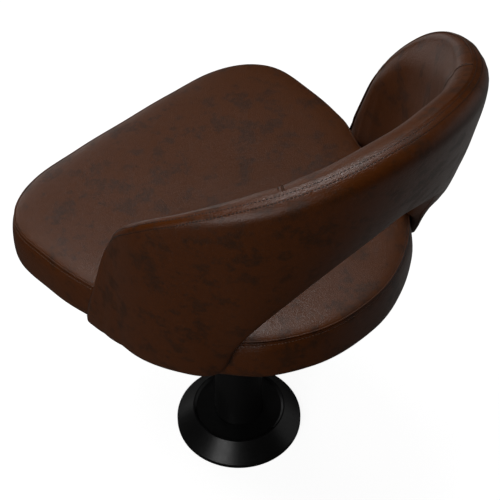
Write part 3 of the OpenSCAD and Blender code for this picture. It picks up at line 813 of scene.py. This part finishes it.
def pad_grid(stations, seed, cross_at, stitched=False):
    """The face of one pad, curled in along its seams, with the places and normals of its row of
    stitches. cross_at lists the stations of its ends at the seams between pads."""
    path = smooth_path(Sections(stations).inner(), PAD_PARTS)
    start = places(path, SEAM_CURL, PAD_ROWS, SEAM_CURL[::-1])
    end = lengths(path)[:, -1:] - start
    grid = at_lengths(path, start)
    face = normals(grid)
    step = np.linalg.norm(np.gradient(grid, axis=0), axis=-1) / column(np.abs(np.gradient(stations)))
    relief = curl(start, SEAM_DEPTH) + curl(end)
    inside = np.clip(start / PAD_EDGE, 0, 1) * np.clip(end / PAD_EDGE, 0, 1)
    relief += PAD_WAVE * waves(grid, PAD_WAVE_SIZE, seed) * inside
    relief += (CORNER_PUFF * bump(start, CORNER_DOWN, CORNER_REACH)
               * column(bump(stations, CORNER_STATION, CORNER_STATIONS)))
    from_cross = [column(np.abs(stations - station)) * step for station in cross_at]
    for x in from_cross:
        dent = STITCH_DENT * stitched * bump(x, CROSS_STITCH, STITCH_DENT_WIDTH)
        relief += curl(x, CROSS_DEPTH, CROSS_REACH) - dent
        relief += CROSS_PUFF * bump(x, CROSS_PUFF_AT, CROSS_PUFF_WIDTH) * inside
    grid = grid + face * relief[..., None]
    if not stitched:
        return grid, None
    near = np.flatnonzero(np.abs(stations - cross_at[0]) < 1)
    rows = slice(len(SEAM_CURL), grid.shape[1] - len(SEAM_CURL) - ROWS_BELOW_ARM_STITCHES)
    where = from_cross[0][near, rows].T
    at = np.full(len(where), CROSS_STITCH)
    return grid, tuple(on_rows(values[near, rows].swapaxes(0, 1), where, at) for values in (grid, face))


def pad_stations(first, last, first_is_seam, last_is_seam):
    """Stations of a pad, closer at the ends that meet another pad."""
    parts = [even(first + CROSS_END * first_is_seam, last - CROSS_END * last_is_seam, PAD_STEP)]
    if first_is_seam:
        parts.insert(0, first + CROSS_CURL)
    if last_is_seam:
        parts.append(last - CROSS_CURL[::-1])
    return np.concatenate(parts)


def make_back_cushion():
    end = SEAM_STATION - SEAM_HALF
    grid, _ = pad_grid(pad_stations(-end, end, True, True), BACK_SEED, (-end, end))
    piece = sheet_of("back_cushion", grid, BACK_SHEET_T, MATERIALS["brown_leather"], up=1)
    finish_piece(piece, "brown_leather", "back_pad", fill=PAD_FILL)


def make_arm_cushions():
    start = SEAM_STATION + SEAM_HALF
    stations = np.concatenate([pad_stations(start, ROUND_START, True, False), wing_end])
    tub = Sections(stations)
    arm, (line, up) = pad_grid(stations, ARM_SEED, (start,), True)
    thickness = np.minimum(ARM_ROLL_SHARE * np.minimum(tub.low_roll, tub.top_roll), ARM_SHEET_T)
    thickness = (thickness * tub.round_off)[..., None]
    for side, name, grid in zip((1, -1), ("left", "right"), both_sides(arm)):
        piece = sheet_of(f"arm_cushion_{name}", grid, thickness, MATERIALS["brown_leather"], up=side)
        finish_piece(piece, "brown_leather", f"arm_pad_{name}", fill=PAD_FILL)
    rows = list(zip(both_sides(line), both_sides(up)))
    finish_piece(capsules("topstitch_arms", rows, THREAD_R, MATERIALS["thread"]), "dark_leather")
    # Cords down the wings' front edges close the gap between the outer leather and the pads
    piece = tube("wing_edge_cords", both_sides(arm[-1]), EDGE_CORD_R, MATERIALS["seam_leather"])
    finish_piece(piece, "dark_leather")


def make_cross_seams():
    path = smooth_path(Sections([SEAM_STATION]).inner(), PAD_PARTS)
    run = np.linspace(0, CORD_SHARE, CORD_POINTS)[None] * lengths(path)[:, -1:]
    # A cord of darker leather along each cross seam paints in the shade of the crease between the pads
    piece = tube("cross_seams", both_sides(at_lengths(path, run)[0]), CORD_R, MATERIALS["shade_cord_leather"])
    finish_piece(piece, "dark_leather")


# The seat. UNDER_SHARES gives the curve under its side: inset and height as shares of UNDER_R,
# share of the swell. SIDE_SHARES goes on above it: height as a share of SEAT_T, share of the swell.
SEAT_POINTS = 288
SEAT_FILL = 0.8
SEAT_LOW = SEAT_H - SEAT_T
UNDER_R = 26 * MM
UNDER_SHARES = ((1, 0, 0), (0.45, 0.08, 0.2), (0.16, 0.33, 0.5), (0, 0.72, 0.8))
SIDE_SHARES = ((0.56, 1), (0.82, 0.75))
SIDE_TOP_INSET = 0.3 * MM
SIDE_TOP_DROP = 1.2 * MM
SIDE_TOP_SWELL = 0.1
SIDE_LEVELS = 31
SIDE_ROWS = 34
SIDE_SHEET_T = 2 * MM
SIDE_WAVE = 0.35 * MM
SIDE_WAVE_SIZE = 60 * MM
SIDE_WAVE_EDGE = 15 * MM
SIDE_SEED = 41
SIDE_SEAM_ROWS = np.array([0, 0.4, 0.9, 1.6, 2.6, 3.4, 4.2, 5.0, 5.8, 7, 8.6]) * MM
SIDE_STITCH_ROW = 6
SIDE_STITCH = SIDE_SEAM_ROWS[SIDE_STITCH_ROW]
SIDE_GROOVE_DEPTH = 0.4 * MM
SIDE_GROOVE_WIDTH = 0.8 * MM
SIDE_THREAD_SINK = 0.15 * MM
RIDGE_R = 1.0 * MM
RIDGE_RISE = 0.8 * MM
CROWN_BLUNT = 5
CROWN_POWER = 0.55
CROWN_INSET = 0.4 * MM
CROWN_START = 0.5 * MM
CROWN_SHEET_T = 6 * MM
CROWN_EDGE_SHARES = (0, 0.0015, 0.0035, 0.006, 0.01, 0.016, 0.024, 0.034, 0.046, 0.06)
CROWN_SHARES = np.linspace(0.08, 0.985, 44)
CROWN_WAVE = 0.7 * MM
CROWN_WAVE_SIZE = 75 * MM
CROWN_WAVE_EDGE = 70 * MM
CROWN_SEED = 51


def seat_ring(inset, z, share=1.0, swell_share=0.0):
    """One level of the seat, as SEAT_POINTS points round its outline."""
    rows = np.linspace(0, len(OUTLINE_SHARES) - 1, SEAT_POINTS // 2 + 1)
    mirrored = [2 - OUTLINE_SHARES[-2, 0], OUTLINE_SHARES[-2, 1]]
    half = read(np.vstack([OUTLINE_SHARES, mirrored]), rows, True)
    outline = np.concatenate([half, half[-2:0:-1] * np.array([-1, 1])])
    turn = outline[:, 0] * 180
    return tub_point(turn, (SEAT_R * outline[:, 1] - inset + swell(turn) * swell_share) * share, z)


def crown(x):
    """Height of the crown, as a share, at share x of the way in from the seam."""
    return (1 - (1 - x)**CROWN_BLUNT)**CROWN_POWER


def make_seat_side():
    """Makes the side, and gives the row for the stitches under its seam."""
    levels = [(inset * UNDER_R, SEAT_LOW + UNDER_R * height, share) for inset, height, share in UNDER_SHARES]
    levels += [(0, SEAT_LOW + SEAT_T * height, share) for height, share in SIDE_SHARES]
    levels.append((SIDE_TOP_INSET, SEAT_H - SIDE_TOP_DROP, SIDE_TOP_SWELL))
    levels = read(np.array(levels), np.linspace(0, len(levels) - 1, SIDE_LEVELS), False)
    rings = [seat_ring(inset, z, swell_share=share) for inset, z, share in levels]
    path = np.stack(rings, 1)[:, ::-1]
    down = places(path, SIDE_SEAM_ROWS, SIDE_ROWS, [0])
    grid = at_lengths(path, down)
    normal = -normals(grid, True)
    relief = curl(down) - SIDE_GROOVE_DEPTH * bump(down, SIDE_STITCH, SIDE_GROOVE_WIDTH)
    relief += SIDE_WAVE * waves(grid, SIDE_WAVE_SIZE, SIDE_SEED) * np.clip(down / SIDE_WAVE_EDGE, 0, 1)
    # The side is given the outer leather's darker, more orange colour instead of the seat's own brown: a
    # shaded copy of the seat's leather, painted shade for its upright faces
    piece = sheet_of("seat_side", grid + normal * relief[..., None], SIDE_SHEET_T, MATERIALS["dark_leather"],
                     closed=True, up=-1)
    finish_piece(piece, "brown_leather", "seat_boxing", fill=SEAT_FILL)

    line, up = (np.concatenate([values[:, SIDE_STITCH_ROW], values[:1, SIDE_STITCH_ROW]])
                for values in (grid, normal))
    return line - up * SIDE_THREAD_SINK, up


def make_seat_cushion():
    shares = np.concatenate([CROWN_EDGE_SHARES, CROWN_SHARES])
    path = np.stack([seat_ring(CROWN_INSET, mix(SEAT_H + CROWN_START, SEAT_H + SEAT_CROWN, crown(x)), 1 - x)
                     for x in shares], 1)
    run = lengths(path)
    inside = np.clip(run / CROWN_WAVE_EDGE, 0, 1)**2
    relief = curl(run) + CROWN_WAVE * waves(path, CROWN_WAVE_SIZE, CROWN_SEED) * inside
    grid = path + normals(path, True) * relief[..., None]
    rows, cols = grid.shape[:2]
    middle = rows * cols
    starts = [(i * cols, (i + 1) % rows * cols) for i in range(rows)]
    points = np.concatenate([grid.reshape(-1, 3), [grid[:, -1].mean(0)]])
    under = points - np.array([0, 0, CROWN_SHEET_T])
    faces = grid_faces(rows, cols, True)
    faces += [(here + cols - 1, middle, there + cols - 1) for here, there in starts]
    faces += [tuple(len(points) + i for i in f[::-1]) for f in faces]
    faces += [(len(points) + there, len(points) + here, here, there) for here, there in starts]
    piece = add_mesh("seat_cushion", np.concatenate([points, under]), faces, MATERIALS["brown_leather"])
    finish_piece(piece, "brown_leather", "seat_top_panel", "seat_core", fill=SEAT_FILL)


def make_seat_seam(stitch_row):
    ring = seat_ring(0, SEAT_H + RIDGE_RISE)
    ridge = tube("seat_seam_ridge", [ring], RIDGE_R, MATERIALS["seam_leather"], closed=True)
    finish_piece(ridge, "dark_leather", "seat_welt")
    piece = capsules("topstitch_seat", [stitch_row], THREAD_R, MATERIALS["light_thread"])
    finish_piece(piece, "dark_leather")


make_outer_leather()
make_back_cushion()
make_arm_cushions()
make_cross_seams()
stitch_row = make_seat_side()
make_seat_cushion()
make_seat_seam(stitch_row)


# Floor and backdrop. The camera sees the floor near white, with the chair's faint shadow. The
# chair itself is lit by the lamps and by what little a grey floor and a dim room send back. That
# grey is paler towards -X: a painted pool of light, which the outer leather of the back picks up
# as a reflected sheen near its edge.
FLOOR_HALF = 8
FLOOR_ROUGHNESS = 0.9
FLOOR_SPECULAR = 0.1
FLOOR_GLOW = 0.92
FLOOR_WHITE = (0.42, 0.42, 0.42)
FLOOR_GREY_LEFT = (0.45, 0.44, 0.43)
FLOOR_GREY_RIGHT = (0.1, 0.098, 0.095)
GREY_FROM_X = -0.7
GREY_TO_X = 0.0
ROOM_COLOR = (0.95, 0.9, 0.88, 1)
ROOM_STRENGTH = 0.012
BACKDROP_COLOR = (1, 1, 1, 1)

# Lamps, in metres, watts and degrees. The top light is long and narrow for the highlight that runs
# along the tub's crest.
LAMPS = {
    "top_light": dict(place=(0.3, -0.35, 2.6), target=(0.1, 0.15, 0.6), size=(1.7, 0.45), power=17.5,
                      turn=-28),
    "soft_light": dict(place=(-0.3, -0.5, 2.6), target=(0, 0, 0.45), size=(1.8, 1.8), power=5),
    "front_light": dict(place=(-0.3, -2.5, 0.85), target=(0, 0, 0.6), size=(1.9, 1.6), power=9),
    "side_light": dict(place=(2.25, 0.73, 1.05), target=(0, 0, 0.6), size=(1.1, 1.8), power=17),
    "fill_light": dict(place=(-2.3, 1.2, 0.85), target=(0, 0, 0.5), size=(2.4, 1.6), power=3.5),
}


def make_floor():
    material, nodes, links, surface = shader("floor_white")
    surface.inputs["Roughness"].default_value = FLOOR_ROUGHNESS
    surface.inputs["Specular IOR Level"].default_value = FLOOR_SPECULAR
    rays = nodes.new("ShaderNodeLightPath")
    coords = nodes.new("ShaderNodeTexCoord")
    across = nodes.new("ShaderNodeSeparateXYZ")
    links.new(coords.outputs["Object"], across.inputs["Vector"])
    # Paler towards -X: the painted pool of light on the floor, seen only in reflections
    side_share = span(nodes, links, across.outputs["X"], GREY_FROM_X, GREY_TO_X)
    grey = blend_colors(nodes, links, side_share, FLOOR_GREY_LEFT, FLOOR_GREY_RIGHT)
    links.new(blend_colors(nodes, links, rays.outputs["Is Camera Ray"], grey, FLOOR_WHITE),
              surface.inputs["Base Color"])
    white = nodes.new("ShaderNodeEmission")
    glow = add_node(nodes, "ShaderNodeMath", operation="MULTIPLY")
    glow.inputs[1].default_value = FLOOR_GLOW
    links.new(rays.outputs["Is Camera Ray"], glow.inputs[0])
    links.new(glow.outputs["Value"], white.inputs["Strength"])
    both = nodes.new("ShaderNodeAddShader")
    links.new(surface.outputs["BSDF"], both.inputs[0])
    links.new(white.outputs["Emission"], both.inputs[1])
    links.new(both.outputs["Shader"], nodes["Material Output"].inputs["Surface"])
    corners = [(x * FLOOR_HALF, y * FLOOR_HALF, 0) for x, y in ((-1, -1), (1, -1), (1, 1), (-1, 1))]
    add_mesh("floor", corners, [(0, 1, 2, 3)], material, smooth=False)


def make_backdrop():
    world = bpy.data.worlds.new("studio")
    bpy.context.scene.world = world
    world.use_nodes = True
    nodes, links = world.node_tree.nodes, world.node_tree.links
    dim = nodes["Background"]
    dim.inputs["Color"].default_value = ROOM_COLOR
    dim.inputs["Strength"].default_value = ROOM_STRENGTH
    bright = add_node(nodes, "ShaderNodeBackground", Color=BACKDROP_COLOR, Strength=1.0)
    rays = nodes.new("ShaderNodeLightPath")
    both = nodes.new("ShaderNodeMixShader")
    links.new(rays.outputs["Is Camera Ray"], both.inputs["Fac"])
    links.new(dim.outputs["Background"], both.inputs[1])
    links.new(bright.outputs["Background"], both.inputs[2])
    links.new(both.outputs["Shader"], nodes["World Output"].inputs["Surface"])


def area_light(name, place, target, size, power, turn=0):
    """A lamp aimed at target, turned by some degrees about its own axis."""
    data = bpy.data.lights.new(name, "AREA")
    data.shape = "RECTANGLE"
    data.size, data.size_y = size
    data.energy = power
    light = bpy.data.objects.new(name, data)
    light.location = place
    aim = (Vector(target) - Vector(place)).to_track_quat("-Z", "Y")
    light.rotation_euler = (aim @ Quaternion((0, 0, 1), math.radians(turn))).to_euler()
    bpy.context.collection.objects.link(light)


make_floor()
make_backdrop()

for name, values in LAMPS.items():
    area_light(name, **values)

# The camera, solved from the photograph. It looks past the target by AIM_RIGHT and AIM_UP.
CAMERA_TURN = math.radians(137.0156)
CAMERA_RISE = math.radians(47.2352)
CAMERA_DISTANCE = 2026.2 * MM
TARGET = Vector((0, 0, 400 * MM))
AIM_RIGHT = 16.68 * MM
AIM_UP = -18.59 * MM
LENS = 110.274
SENSOR = 36.0


def make_camera():
    right = Vector((math.cos(CAMERA_TURN), math.sin(CAMERA_TURN), 0))
    back = Vector((math.sin(CAMERA_TURN) * math.cos(CAMERA_RISE),
                   -math.cos(CAMERA_TURN) * math.cos(CAMERA_RISE), math.sin(CAMERA_RISE)))
    up = back.cross(right)
    data = bpy.data.cameras.new("camera")
    data.lens = LENS
    data.sensor_width = SENSOR
    camera = bpy.data.objects.new("camera", data)
    bpy.context.collection.objects.link(camera)
    place = TARGET + back * CAMERA_DISTANCE + right * AIM_RIGHT + up * AIM_UP
    camera.matrix_world = Matrix.Translation(place) @ Matrix((right, up, back)).transposed().to_4x4()
    return camera


bpy.context.scene.camera = make_camera()
bpy.context.scene.view_settings.view_transform = "Standard"
